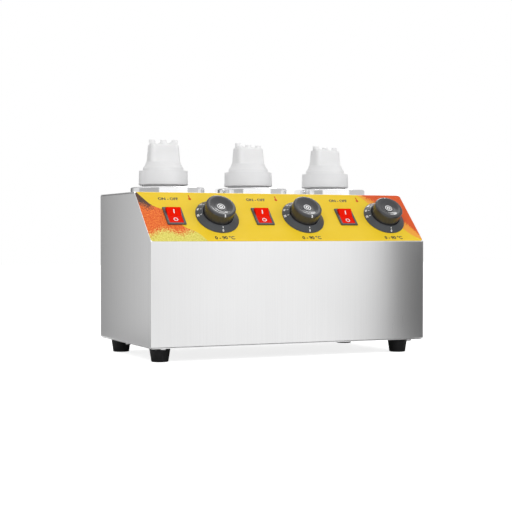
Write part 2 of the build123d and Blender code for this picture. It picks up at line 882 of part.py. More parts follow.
def make_rocker(x):
    """Rocker with two faces that meet in a valley, ends round its pivot and a trunnion on each side."""
    end_height = rocker_valley + rocker_half_length * tan(radians(rocker_tilt))
    swing = hypot(rocker_half_length, end_height)
    skirt_half = sqrt(swing**2 - rocker_skirt**2)
    tilted = turned(across_slope(x, switch_rise, rocker_pivot_height), rocker_tilt)
    half_body = rocker_room_width / 2 - rocker_side_gap
    with BuildPart() as rocker:
        with BuildSketch(tilted):
            with BuildLine():
                Line((-rocker_half_length, end_height), (0, rocker_valley))
                Line((0, rocker_valley), (rocker_half_length, end_height))
                ThreePointArc((rocker_half_length, end_height), (swing, 0), (skirt_half, -rocker_skirt))
                Line((skirt_half, -rocker_skirt), (-skirt_half, -rocker_skirt))
                ThreePointArc((-skirt_half, -rocker_skirt), (-swing, 0), (-rocker_half_length, end_height))
            make_face()
        extrude(amount=half_body, both=True)
        with BuildSketch(tilted):
            Circle(trunnion_radius)
        extrude(amount=rocker_room_width / 2 + trunnion_reach, both=True)
    return rocker


for number, x in enumerate(switch_xs, start=1):
    save(make_switch_housing(x), f"switch_housing_{number}")
    save(make_rocker(x), f"rocker_{number}")

switch_blade_u = blade_width / 2 + 2.0
switch_blade_v = cutout_length / 4
case_back = -sheet - bracket_thickness - thermostat_depth
thermostat_blade_u = thermostat_width / 4
with BuildPart() as blade_terminals:
    with BuildSketch(on_slope(0, switch_rise, housing_back)):
        with Locations(*[(x, 0) for x in switch_xs]):
            with GridLocations(2 * switch_blade_u, 2 * switch_blade_v, 2, 2):
                Rectangle(blade_width, blade_thickness)
    extrude(amount=-blade_length)
    with BuildSketch(on_slope(0, dial_rise - thermostat_length / 4, case_back)):
        with Locations(*[(x, 0) for x in dial_xs]):
            with GridLocations(2 * thermostat_blade_u, 0, 2, 1):
                Rectangle(blade_width, blade_thickness)
    extrude(amount=-blade_length)
save(blade_terminals, "blade_terminals")

# ---------------------------------------------------------------- bottles, nozzles and screw rings
ring_bore = neck_radius + thread_height + moving_gap
flange_radius = ring_bore - moving_gap
flange_z = neck_top + moving_gap
ring_web_z = flange_z + flange_thickness + moving_gap
ring_top = ring_web_z + ring_web
ring_bottom = ring_top - ring_height
ring_mouth = shoulder_radius + moving_gap


def make_bottle(x, y):
    """Blown bottle: rounded base, shoulder and a neck with a helical thread."""
    axis = Axis((x, y, 0), (0, 0, 1))
    base_z = casing_z + cup_lift + cup_wall + bottle_seat_gap
    with BuildPart() as bottle:
        with BuildSketch(upright(x, y)):
            with BuildLine():
                FilletPolyline(
                    (0, base_z),
                    (bottle_radius, base_z),
                    (bottle_radius, casing_z + shoulder_start),
                    (neck_radius, casing_z + shoulder_end),
                    (neck_radius, casing_z + neck_top),
                    radius=[bottle_base_bend, shoulder_bend, neck_bend],
                )
                offset(amount=bottle_wall, side=Side.LEFT)
            make_face()
        revolve(axis=axis)
        with BuildLine() as turns:
            Helix(
                pitch=thread_pitch,
                height=thread_pitch * thread_turns,
                radius=neck_radius,
                center=(x, y, casing_z + thread_start),
            )
        with BuildSketch(Plane(origin=turns.line @ 0, x_dir=(0, 0, 1), z_dir=turns.line % 0)):
            root, crest = thread_half_width, thread_half_width / 3
            with BuildLine():
                Polyline(
                    (-root, moving_gap),
                    (root, moving_gap),
                    (crest, -thread_height),
                    (-crest, -thread_height),
                    close=True,
                )
            make_face()
        sweep(path=turns.line, is_frenet=True)
    return bottle


def make_tower(x, y, turn, height, wall, bottom):
    """Outside of a nozzle, or its hollow where the wall isn't zero: round up to the ledge, oblong above it."""
    ledge_z = casing_z + ring_top + ledge_height - wall
    crown_z = casing_z + ring_top + height - wall
    outline = [
        (0, casing_z + bottom),
        (shoulder_radius - wall, casing_z + bottom),
        (shoulder_radius - wall, casing_z + ring_top + shoulder_height - wall / 2),
        (tower_foot_radius - wall, casing_z + ring_top + tower_foot_start - wall / 2),
        (ledge_radius - wall, ledge_z),
        (0, ledge_z),
    ]
    with BuildPart() as tower:
        with BuildSketch(upright(x, y)):
            with BuildLine():
                Polyline(*outline, close=True)
            make_face()
        revolve(axis=Axis((x, y, 0), (0, 0, 1)))
        soft = tower.edges().filter_by(GeomType.CIRCLE).group_by(Axis.Z)
        fillet(soft[1], shoulder_edge_radius)
        with BuildSketch(level(x, y, ledge_z, turn)) as base:
            RectangleRounded(tower_base[0] - 2 * wall, tower_base[1] - 2 * wall, tower_bend - wall / 2)
        with BuildSketch(level(x, y, crown_z, turn)) as crown:
            RectangleRounded(tower_crown[0] - 2 * wall, tower_crown[1] - 2 * wall, tower_bend - wall / 2)
        loft([base.sketch, crown.sketch])
        fillet(tower.edges().group_by(Axis.Z)[-1], crown_radius)
    return tower


def make_nozzle(x, y, turn, tower_height, heights):
    """Nozzle: spigot and flange held by the screw ring, oblong tower and a row of three cut tips."""
    hollow = make_tower(x, y, turn, tower_height, nozzle_wall, flange_z - spigot_length - moving_gap)
    tower = make_tower(x, y, turn, tower_height, 0.0, flange_z)
    tower_top = ring_top + tower_height
    spigot_radius = neck_radius - bottle_wall - spigot_gap
    with BuildPart() as nozzle:
        add(tower.part)
        with BuildSketch(level(x, y, casing_z + flange_z)):
            Circle(flange_radius)
        extrude(amount=flange_thickness)
        with BuildSketch(level(x, y, casing_z + flange_z)):
            Circle(spigot_radius)
        extrude(amount=-spigot_length)
        for place, height in zip((-1, 0, 1), heights):
            foot = level(x, y, casing_z + tower_top - tip_root_depth, turn)
            neck = foot.offset(tip_root_depth + height - tip_nub)
            with BuildSketch(foot) as wide:
                with Locations((place * (tip_spacing - tip_root_inset), 0)):
                    Circle(tip_root_radius)
            with BuildSketch(neck) as narrow:
                with Locations((place * tip_spacing, 0)):
                    Circle(tip_neck_radius)
            loft([wide.sketch, narrow.sketch])
            with BuildSketch(neck):
                with Locations((place * tip_spacing, 0)):
                    Circle(tip_radius)
            extrude(amount=tip_nub)
        add(hollow.part, mode=Mode.SUBTRACT)
        with BuildSketch(level(x, y, casing_z + tower_top - 2 * nozzle_wall, turn)):
            with GridLocations(tip_spacing, 0, 3, 1):
                Circle(tip_bore_radius)
        extrude(amount=2 * nozzle_wall + max(heights), mode=Mode.SUBTRACT)
    return nozzle


def make_cap_ring(x, y):
    """Screw ring: a plain skirt with a web that holds the nozzle's flange on the neck."""
    with BuildPart() as ring:
        with BuildSketch(upright(x, y)) as profile:
            with BuildLine():
                Polyline(
                    (ring_bore, casing_z + ring_bottom),
                    (ring_bottom_radius, casing_z + ring_bottom),
                    (ring_top_radius, casing_z + ring_top),
                    (ring_mouth, casing_z + ring_top),
                    (ring_mouth, casing_z + ring_web_z),
                    (ring_bore, casing_z + ring_web_z),
                    close=True,
                )
            make_face()
            brim = profile.vertices().group_by(Axis.Z)[-1].sort_by(Axis.X)[-1]
            fillet(brim, ring_edge_radius)
        revolve(axis=Axis((x, y, 0), (0, 0, 1)))
    return ring


for number, (well_x, shift) in enumerate(zip(well_xs, bottle_shifts), start=1):
    x, y = well_x + shift[0], well_y + shift[1]
    save(make_bottle(x, y), f"squeeze_bottle_{number}")
    nozzle = make_nozzle(x, y, nozzle_turns[number - 1], tower_heights[number - 1], tip_heights[number - 1])
    save(nozzle, f"nozzle_{number}")
    save(make_cap_ring(x, y), f"cap_ring_{number}")

# ---------------------------------------------------------------- cord gland, terminals and wiring
gland_z = casing_z + gland_lift


def gland_plane(reach):
    """Plane on the gland's axis, its normal to the rear, reach behind the rear panel."""
    return facing(gland_x, rear_face + reach, gland_z, (0, 1, 0))


with BuildPart() as gland_body:
    with BuildSketch(gland_plane(0)):
        RegularPolygon(radius=gland_hex / 2, side_count=6, major_radius=False)
    extrude(amount=gland_flange)
    with BuildSketch(gland_plane(gland_flange)):
        Circle(gland_neck_radius)
    extrude(amount=gland_neck_length)
    with BuildSketch(gland_plane(0)):
        Circle(gland_barrel_radius)
    extrude(amount=-gland_tail)
    with BuildSketch(gland_plane(-gland_tail)):
        Circle(gland_bore)
    extrude(amount=gland_tail + gland_flange + gland_neck_length, mode=Mode.SUBTRACT)
save(gland_body, "gland_body")

with BuildPart() as gland_locknut:
    with BuildSketch(gland_plane(-sheet)):
        RegularPolygon(radius=gland_hex / 2, side_count=6, major_radius=False)
        Circle(gland_barrel_radius + tapped_gap, mode=Mode.SUBTRACT)
    extrude(amount=-locknut_height)
save(gland_locknut, "gland_locknut")

with BuildPart() as gland_cap:
    with BuildSketch(gland_plane(gland_flange)):
        RegularPolygon(radius=gland_hex / 2, side_count=6, major_radius=False)
    extrude(amount=gland_cap_length)
    cap_end = gland_cap.faces().sort_by(Axis.Y)[-1]
    chamfer(cap_end.edges(), gland_cap_wall / 2)
    with BuildSketch(gland_plane(gland_flange)):
        Circle(gland_neck_radius + tapped_gap)
    extrude(amount=gland_cap_length - gland_cap_wall, mode=Mode.SUBTRACT)
    with BuildSketch(gland_plane(gland_flange)):
        Circle(gland_cap_mouth)
    extrude(amount=gland_cap_length, mode=Mode.SUBTRACT)
save(gland_cap, "gland_cap")

with BuildPart() as gland_seal:
    with BuildSketch(gland_plane(0)):
        Circle(cord_radius + seal_wall)
        Circle(cord_radius, mode=Mode.SUBTRACT)
    extrude(amount=gland_flange + gland_cap_length - gland_cap_wall - seam_gap)
save(gland_seal, "gland_seal")

block_y = rear_y - block_front_inset
block_length = block_poles * block_pitch
port_xs = [gland_x + (i - (block_poles - 1) / 2) * block_pitch for i in range(block_poles)]
port_z = casing_z + port_lift
with BuildPart() as terminal_block:
    with BuildSketch(level(gland_x, block_y, casing_z)):
        Rectangle(block_length, block_depth)
    extrude(amount=block_height)
    with BuildSketch(level(gland_x, block_y, casing_z + block_height)):
        with GridLocations(block_pitch, block_depth / 2, block_poles, 2):
            Circle(block_screw_radius + seam_gap)
    extrude(amount=-port_lift, mode=Mode.SUBTRACT)
    with BuildSketch(upright(0, block_y - block_depth / 2)):
        with Locations(*[(x, port_z) for x in port_xs]):
            Circle(port_radius)
    extrude(amount=-port_depth, mode=Mode.SUBTRACT)
save(terminal_block, "terminal_block")

with BuildPart() as terminal_screws:
    with BuildSketch(level(gland_x, block_y, casing_z + block_height - port_lift)):
        with GridLocations(block_pitch, block_depth / 2, block_poles, 2):
            Circle(block_screw_radius)
    extrude(amount=port_lift - block_screw_sink)
    with BuildSketch(level(gland_x, block_y, casing_z + block_height - block_screw_sink)):
        with GridLocations(block_pitch, block_depth / 2, block_poles, 2):
            Rectangle(2 * block_screw_radius, recess_width)
    extrude(amount=-recess_depth, mode=Mode.SUBTRACT)
save(terminal_screws, "terminal_block_screws")

earth_y = rear_y - earth_inset
with BuildPart() as earth_stud:
    with BuildSketch(level(earth_x, earth_y, casing_z - sheet)):
        Circle(screw_radius)
    extrude(amount=earth_height + sheet)
    add(hexagon_nuts([level(earth_x, earth_y, casing_z)]))
save(earth_stud, "earth_stud")


def wire(points):
    """One insulated wire along straight runs, each bend as large as its runs allow."""
    radii = []
    for before, here, after in zip(points, points[1:], points[2:]):
        turn = radians((here - before).get_angle(after - here))
        shorter = min((here - before).length, (after - here).length)
        radii.append(wire_bend_share * shorter / tan(turn / 2))
    with BuildPart() as strand:
        with BuildLine() as route:
            FilletPolyline(*points, radius=radii)
        with BuildSketch(Plane(origin=points[0], z_dir=points[1] - points[0])):
            Circle(wire_radius)
        sweep(path=route.line)
    return strand.part


def floor_run(start, first, number):
    """Points from a terminal down to the casing's floor and along it to one port of the terminal block."""
    run_y = front_y + wire_front + number * wire_row_step
    run_z = casing_z + wire_floor + number * wire_step
    port = Vector(port_xs[number], block_y - block_depth / 2 + port_depth, port_z)
    return [
        start,
        first,
        Vector(first.X, run_y, first.Z - wire_clearance),
        Vector(first.X, run_y, run_z + wire_clearance),
        Vector(first.X + wire_clearance * (1 if port.X > first.X else -1), run_y, run_z),
        Vector(port.X - wire_clearance * (1 if port.X > first.X else -1), run_y, run_z),
        Vector(port.X, run_y + wire_clearance, run_z),
        Vector(port.X, port.Y - 2 * wire_clearance, run_z),
        port - Vector(0, wire_clearance, 0),
        port,
    ]


blade_end = housing_back - blade_length
thermostat_blade_end = case_back - blade_length
with BuildPart() as wiring:
    for i, (well_x, switch_x, dial_x) in enumerate(zip(well_xs, switch_xs, dial_xs)):
        low, high = switch_rise - switch_blade_v, switch_rise + switch_blade_v
        live = slope.from_local_coords((switch_x - switch_blade_u, low, blade_end))
        switched = slope.from_local_coords((switch_x + switch_blade_u, high, blade_end))
        rise = dial_rise - thermostat_length / 4
        fed = slope.from_local_coords((dial_x - thermostat_blade_u, rise, thermostat_blade_end))
        out = slope.from_local_coords((dial_x + thermostat_blade_u, rise, thermostat_blade_end))
        inward = slope.z_dir * -wire_clearance
        add(wire(floor_run(live, live + inward, 2 * i)))
        add(wire([switched, switched + inward, fed + inward, fed]))
        hot_post = Vector(well_x + post_spacing / 2, post_end_y, heater_mid_z)
        cold_post = Vector(well_x - post_spacing / 2, post_end_y, heater_mid_z)
        forward = Vector(0, -wire_clearance / 2, 0)
        add(wire([out, out + inward, hot_post + forward, hot_post]))
        add(wire(floor_run(cold_post, cold_post + forward, 2 * i + 1)))
save(wiring, "wiring")
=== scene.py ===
import json
from math import cos, pi, radians, sin

import bmesh
import bpy
from mathutils import Matrix, Vector


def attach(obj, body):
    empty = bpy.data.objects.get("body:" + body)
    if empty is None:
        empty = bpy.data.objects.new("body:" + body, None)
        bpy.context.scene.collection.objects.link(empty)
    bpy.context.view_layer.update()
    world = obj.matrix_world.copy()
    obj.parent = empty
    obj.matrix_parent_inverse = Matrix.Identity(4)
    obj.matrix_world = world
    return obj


# Countertop warmer for three squeeze bottles: finishes, printed marks, light and camera. Metres.

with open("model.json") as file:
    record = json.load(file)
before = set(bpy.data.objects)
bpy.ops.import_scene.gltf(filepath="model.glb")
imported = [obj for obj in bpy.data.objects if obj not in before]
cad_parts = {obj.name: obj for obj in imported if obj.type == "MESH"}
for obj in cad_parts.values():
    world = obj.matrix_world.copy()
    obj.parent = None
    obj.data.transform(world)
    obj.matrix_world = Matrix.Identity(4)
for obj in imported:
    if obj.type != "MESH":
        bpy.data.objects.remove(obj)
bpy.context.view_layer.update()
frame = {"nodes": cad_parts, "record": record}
nodes = frame["nodes"]
joints = {joint["name"]: joint for joint in frame["record"]["behaviour"]["joints"]}

MM = 0.001
UNITS = (1, 2, 3)

# The control strip: u runs across it, v up it from the lower bend, height out of its sheet
SLOPE_ANGLE = radians(45.0)
SLOPE_FOOT = Vector((0.0, -0.116, 0.155))
SLOPE_UP = Vector((0.0, cos(SLOPE_ANGLE), sin(SLOPE_ANGLE)))
SLOPE_OUT = Vector((0.0, -sin(SLOPE_ANGLE), cos(SLOPE_ANGLE)))
PRINT_FACE = 0.25 * MM
PRINT_THICKNESS = 0.12 * MM
MARK_THICKNESS = 0.3 * MM

# Controls: places measured up the strip and across it from each well's centre
WELL_PITCH = 126.0 * MM
DIAL_RISE = 45.0 * MM
SWITCH_RISE = 46.0 * MM
ROCKER_TILT = radians(12.0)
ROCKER_VALLEY = 2.4 * MM
ROCKER_PIVOT = -0.6 * MM
ROCKER_BAR = (1.5 * MM, 5.6 * MM)
ROCKER_BAR_RISE = 6.4 * MM
ROCKER_RING = (3.1 * MM, 2.1 * MM)
ROCKER_RING_DROP = 6.6 * MM

# The dial's cone as radius and height of its low and high edge, and the marks that lie on it
CONE_LOW = (29.8 * MM, 1.25 * MM)
CONE_HIGH = (22.1 * MM, 6.45 * MM)
TICK = (0.9 * MM, 2.4 * MM, 0.2 * MM)
TICK_RADIUS = 23.9 * MM
NUMBER_HEIGHT = 4.2 * MM
NUMBER_RADIUS = 27.3 * MM
SCALE = {0: "0", 90: "30", 115: "40", 140: "50", 165: "60", 190: "70", 215: "80", 240: "90"}

# The knob's marks: a bar over its rounded edge and two rings on the disc in its dish
KNOB_TURNS = {1: 0.0, 2: 0.0, 3: 180.0}
KNOB_EDGE = (17.7 * MM, 19.4 * MM)
POINTER_BEND = 2.2 * MM
POINTER_STEPS = (0.0, 20.0, 40.0, 60.0, 80.0)
POINTER_BAR = (1.7 * MM, 0.9 * MM, 0.4 * MM)
INLAY_HEIGHT = 19.4 * MM
INLAY_RINGS = ((5.2 * MM, 4.1 * MM), (2.7 * MM, 1.2 * MM))

# Prints on the strip: words with their place across and up from the well, and letter height
CAPTIONS = (("ON - OFF", -30.5, 78.6, 6.6), ("0 - 90 °C", 29.3, 6.4, 7.4))
LETTER_WEIGHT = 0.035
BULB_RISE = 79.0 * MM
BULB_RADIUS = 2.1 * MM
STEM_RISE = 83.2 * MM
STEM = (1.6 * MM, 7.4 * MM, 0.1 * MM)


# ---------------------------------------------------------------- places
def strip_point(u, v, height=0.0):
    """Point on the control strip."""
    return SLOPE_FOOT + Vector((u, 0.0, 0.0)) + SLOPE_UP * v + SLOPE_OUT * height


def seat(place, across, out):
    """Matrix that seats flat work at a place, its x along across and its z along out."""
    z = out.normalized()
    x = (across - z * across.dot(z)).normalized()
    y = z.cross(x)
    turn = Matrix((x, y, z)).transposed().to_4x4()
    return Matrix.Translation(place) @ turn


def well_x(unit):
    return (unit - 2) * WELL_PITCH


def dial_x(unit):
    return joints[f"knob_{unit}_turn"]["pos_m"][0]


def switch_x(unit):
    return joints[f"rocker_{unit}_press"]["pos_m"][0]


# ---------------------------------------------------------------- shader helpers
def add(tree, kind, **settings):
    """Adds a node, its inputs set by name and its own settings by attribute."""
    node = tree.nodes.new(kind)
    for key, value in settings.items():
        if hasattr(node, key):
            setattr(node, key, value)
        else:
            node.inputs[key.replace("_", " ")].default_value = value
    return node


def wire(tree, output, node, socket):
    tree.links.new(output, node.inputs[socket])


def calc(tree, operation, first, second=0.5):
    """Math node whose two inputs are sockets or numbers."""
    node = add(tree, "ShaderNodeMath", operation=operation)
    for index, value in enumerate((first, second)):
        if isinstance(value, bpy.types.NodeSocket):
            tree.links.new(value, node.inputs[index])
        else:
            node.inputs[index].default_value = value
    return node.outputs[0]


def blend_colour(tree, mask, under, over):
    """Colour that goes from under to over as the mask goes from 0 to 1."""
    node = add(tree, "ShaderNodeMix", data_type="RGBA")
    wire(tree, mask, node, 0)
    for index, value in ((6, under), (7, over)):
        if isinstance(value, bpy.types.NodeSocket):
            wire(tree, value, node, index)
        else:
            node.inputs[index].default_value = (*value, 1.0)
    return node.outputs[2]


def spread(tree, mask, low, high):
    """Value that goes from low to high with the mask."""
    node = add(tree, "ShaderNodeMapRange")
    wire(tree, mask, node, "Value")
    node.inputs["To Min"].default_value = low
    node.inputs["To Max"].default_value = high
    return node.outputs[0]


def effect_group(name, numbers, outputs):
    """Empty shader node group with named number inputs and value outputs."""
    group = bpy.data.node_groups.new(name, "ShaderNodeTree")
    for socket, value in numbers.items():
        made = group.interface.new_socket(socket, in_out="INPUT", socket_type="NodeSocketFloat")
        made.default_value = value
    for socket in outputs:
        group.interface.new_socket(socket, in_out="OUTPUT", socket_type="NodeSocketFloat")
    return group, add(group, "NodeGroupInput"), add(group, "NodeGroupOutput")


def brushed_grain():
    """Fine straight lines that run along a sheet's folds, with a slow cloudiness across them."""
    group, given, out = effect_group(
        "brushed grain", {"Lines": 900.0, "Run": 5.0, "Cloud": 9.0}, ("Line", "Cloud")
    )
    coords = add(group, "ShaderNodeTexCoord")
    place = add(group, "ShaderNodeSeparateXYZ")
    wire(group, coords.outputs["Object"], place, 0)
    facing = add(group, "ShaderNodeNewGeometry")
    normal = add(group, "ShaderNodeSeparateXYZ")
    wire(group, facing.outputs["Normal"], normal, 0)
    sideways = calc(group, "GREATER_THAN", calc(group, "ABSOLUTE", normal.outputs[0]), 0.8)
    front = calc(group, "MULTIPLY", place.outputs[0], calc(group, "SUBTRACT", 1.0, sideways))
    side = calc(group, "MULTIPLY", place.outputs[1], sideways)
    across = calc(group, "ADD", front, side)
    along = calc(group, "ADD", place.outputs[2], calc(group, "SUBTRACT", place.outputs[1], side))
    stretched = add(group, "ShaderNodeCombineXYZ")
    wire(group, calc(group, "MULTIPLY", across, given.outputs["Lines"]), stretched, 0)
    wire(group, calc(group, "MULTIPLY", along, given.outputs["Run"]), stretched, 1)
    line = add(group, "ShaderNodeTexNoise", Detail=6.0, Roughness=0.65, Scale=1.0)
    wire(group, stretched.outputs[0], line, "Vector")
    cloud = add(group, "ShaderNodeTexNoise", Detail=3.0, Roughness=0.5)
    wire(group, coords.outputs["Object"], cloud, "Vector")
    wire(group, given.outputs["Cloud"], cloud, "Scale")
    wire(group, line.outputs["Fac"], out, "Line")
    wire(group, cloud.outputs["Fac"], out, "Cloud")
    return group


def moulded_skin():
    """Fine orange-peel of moulded plastic or rubber and the faint handling marks on it."""
    group, given, out = effect_group(
        "moulded skin", {"Grain": 2600.0, "Marks": 45.0}, ("Grain", "Marks")
    )
    coords = add(group, "ShaderNodeTexCoord")
    for socket, detail, rough in (("Grain", 2.0, 0.5), ("Marks", 5.0, 0.7)):
        noise = add(group, "ShaderNodeTexNoise", Detail=detail, Roughness=rough)
        wire(group, coords.outputs["Object"], noise, "Vector")
        wire(group, given.outputs[socket], noise, "Scale")
        wire(group, noise.outputs["Fac"], out, socket)
    return group


def poured_wave():
    """Soft-edged area below a wavy line on the strip: its height rises from one side to the other."""
    group, given, out = effect_group(
        "poured wave",
        {
            "Across": 0.0, "Up": 0.0, "Start": 0.0, "Rise": 0.0,
            "Swell": 0.005, "Length": 0.06, "Phase": 0.0, "Edge": 0.001,
        },
        ("Mask",),
    )
    turn = calc(group, "DIVIDE", given.outputs["Across"], given.outputs["Length"])
    turn = calc(group, "ADD", calc(group, "MULTIPLY", turn, 2 * pi), given.outputs["Phase"])
    wave = calc(group, "MULTIPLY", calc(group, "SINE", turn), given.outputs["Swell"])
    line = calc(group, "MULTIPLY", given.outputs["Across"], given.outputs["Rise"])
    line = calc(group, "ADD", calc(group, "ADD", line, given.outputs["Start"]), wave)
    depth = calc(group, "SUBTRACT", line, given.outputs["Up"])
    soft = calc(group, "ADD", calc(group, "DIVIDE", depth, given.outputs["Edge"]), 0.5)
    clamp = add(group, "ShaderNodeClamp")
    wire(group, soft, clamp, 0)
    wire(group, clamp.outputs[0], out, "Mask")
    return group


BRUSHED = brushed_grain()
MOULDED = moulded_skin()
WAVE = poured_wave()


def use(tree, group, **numbers):
    """Places an effect group with its own values, which may be sockets."""
    node = add(tree, "ShaderNodeGroup", node_tree=group)
    for socket, value in numbers.items():
        if isinstance(value, bpy.types.NodeSocket):
            wire(tree, value, node, socket)
        else:
            node.inputs[socket].default_value = value
    return node.outputs


def finish(name, base, roughness, **sockets):
    """Material with one Principled shader whose constant sockets are set on it."""
    made = bpy.data.materials.new(name)
    made.use_nodes = True
    tree = made.node_tree
    shader = tree.nodes["Principled BSDF"]
    shader.inputs["Base Color"].default_value = (*base, 1.0)
    shader.inputs["Roughness"].default_value = roughness
    for socket, value in sockets.items():
        shader.inputs[socket.replace("_", " ")].default_value = value
    return made, tree, shader


def bump(tree, shader, height, strength, distance):
    node = add(tree, "ShaderNodeBump", Strength=strength, Distance=distance)
    wire(tree, height, node, "Height")
    wire(tree, node.outputs[0], shader, "Normal")


# ---------------------------------------------------------------- finishes
def sheet_steel(name, dark, light, roughness, lines):
    """Brushed stainless sheet: grain lines in its tone, gloss and surface."""
    made, tree, shader = finish(name, light, roughness, Metallic=1.0)
    grain = use(tree, BRUSHED, Lines=lines)
    lines_share = calc(tree, "MULTIPLY", grain["Line"], 0.7)
    cloud_share = calc(tree, "MULTIPLY", grain["Cloud"], 0.3)
    tone = calc(tree, "ADD", lines_share, cloud_share)
    wire(tree, blend_colour(tree, tone, dark, light), shader, "Base Color")
    wire(tree, spread(tree, tone, roughness + 0.08, roughness - 0.08), shader, "Roughness")
    bump(tree, shader, grain["Line"], 0.12, 0.0001)
    return made


def plain_metal(name, dark, light, roughness, marks=60.0, swing=0.075, depth=0.05):
    """Small or drawn metal parts: bright or dull metal with faint handling marks."""
    made, tree, shader = finish(name, light, roughness, Metallic=1.0)
    skin = use(tree, MOULDED, Grain=3000.0, Marks=marks)
    wire(tree, blend_colour(tree, skin["Marks"], dark, light), shader, "Base Color")
    wire(tree, spread(tree, skin["Marks"], roughness + swing, roughness - swing), shader, "Roughness")
    bump(tree, shader, skin["Grain"], depth, 0.00005)
    return made


def moulded_plastic(name, dark, light, roughness, grain=2600.0, depth=0.08, **sockets):
    """Moulded plastic or rubber: colour, gloss and a fine skin that vary a little."""
    made, tree, shader = finish(name, light, roughness, **sockets)
    skin = use(tree, MOULDED, Grain=grain)
    wire(tree, blend_colour(tree, skin["Marks"], dark, light), shader, "Base Color")
    wire(tree, spread(tree, skin["Marks"], roughness + 0.07, roughness - 0.05), shader, "Roughness")
    bump(tree, shader, skin["Grain"], depth, 0.0001)
    return made


# The strip's inks as a dark and a light tone, and its waves: where each starts, how it slopes and
# swells across the strip (metres), and how soft its edge is
YELLOW = ((0.84, 0.56, 0.003), (0.92, 0.66, 0.06))
CREAM = ((0.62, 0.55, 0.06), (0.90, 0.80, 0.22))
ORANGE = ((0.70, 0.05, 0.012), (0.92, 0.27, 0.045))
BROWN = ((0.045, 0.035, 0.032), (0.16, 0.075, 0.05))
EMBER = ((0.72, 0.10, 0.02), (0.90, 0.38, 0.05))
LEFT_WAVE = {"Start": -0.1395, "Rise": -1.152, "Swell": 0.0035, "Length": 0.035, "Edge": 0.0008}
MIDDLE_WAVE = {"Start": 0.066, "Rise": 0.0, "Swell": 0.004, "Length": 0.03, "Edge": 0.012}
LOW_WAVE = {"Start": 0.026, "Rise": 0.05, "Swell": 0.004, "Length": 0.045, "Phase": 1.2, "Edge": 0.010}
RIGHT_WAVE = {"Start": 0.2607, "Rise": -1.318, "Swell": 0.003, "Length": 0.032, "Edge": 0.0008}
STRIPE_WAVE = {"Start": 0.2767, "Rise": -1.318, "Swell": 0.003, "Length": 0.03, "Edge": 0.006}
SPRAY = 0.016


def printed_strip(name):
    """Yellow control overlay with poured waves of warm colours at both ends."""
    made, tree, shader = finish(name, (0.90, 0.62, 0.03), 0.4, Specular_IOR_Level=0.1)
    coords = add(tree, "ShaderNodeTexCoord")
    lay = add(tree, "ShaderNodeMapping")
    lay.inputs["Rotation"].default_value = (-SLOPE_ANGLE, 0.0, 0.0)
    foot = (0.0, -SLOPE_FOOT.dot(SLOPE_UP), -SLOPE_FOOT.dot(SLOPE_OUT))
    lay.inputs["Location"].default_value = foot
    wire(tree, coords.outputs["Object"], lay, "Vector")
    strip = add(tree, "ShaderNodeSeparateXYZ")
    wire(tree, lay.outputs[0], strip, 0)
    across, up = strip.outputs[0], strip.outputs[1]
    skin = use(tree, MOULDED, Grain=520.0, Marks=14.0)
    ground = blend_colour(tree, skin["Marks"], *YELLOW)

    speckle = spread(tree, skin["Grain"], -0.6, 1.6)
    cream = blend_colour(tree, speckle, *CREAM)
    orange = blend_colour(tree, speckle, *ORANGE)
    brown = blend_colour(tree, speckle, *BROWN)
    sprayed = calc(tree, "ADD", up, spread(tree, skin["Grain"], SPRAY, -SPRAY))

    left = use(tree, WAVE, Across=across, Up=up, **LEFT_WAVE)
    middle = use(tree, WAVE, Across=across, Up=sprayed, **MIDDLE_WAVE)
    low = use(tree, WAVE, Across=across, Up=sprayed, **LOW_WAVE)
    poured = blend_colour(tree, middle["Mask"], brown, orange)
    poured = blend_colour(tree, low["Mask"], poured, cream)
    colour = blend_colour(tree, left["Mask"], ground, poured)

    right = use(tree, WAVE, Across=across, Up=up, **RIGHT_WAVE)
    stripe = use(tree, WAVE, Across=across, Up=sprayed, **STRIPE_WAVE)
    ember = blend_colour(tree, stripe["Mask"], *EMBER)
    colour = blend_colour(tree, right["Mask"], ember, colour)
    wire(tree, colour, shader, "Base Color")
    wire(tree, spread(tree, skin["Marks"], 0.46, 0.36), shader, "Roughness")
    bump(tree, shader, skin["Grain"], 0.03, 0.00005)
    return made


MILKY = {"Specular_IOR_Level": 0.15, "Subsurface_Weight": 0.35, "Subsurface_Scale": 0.006}
MILKY_RING = {"Specular_IOR_Level": 0.15, "Subsurface_Weight": 0.3, "Subsurface_Scale": 0.005}
EVEN_SCATTER = {"Subsurface_Radius": (1.0, 1.0, 1.0)}

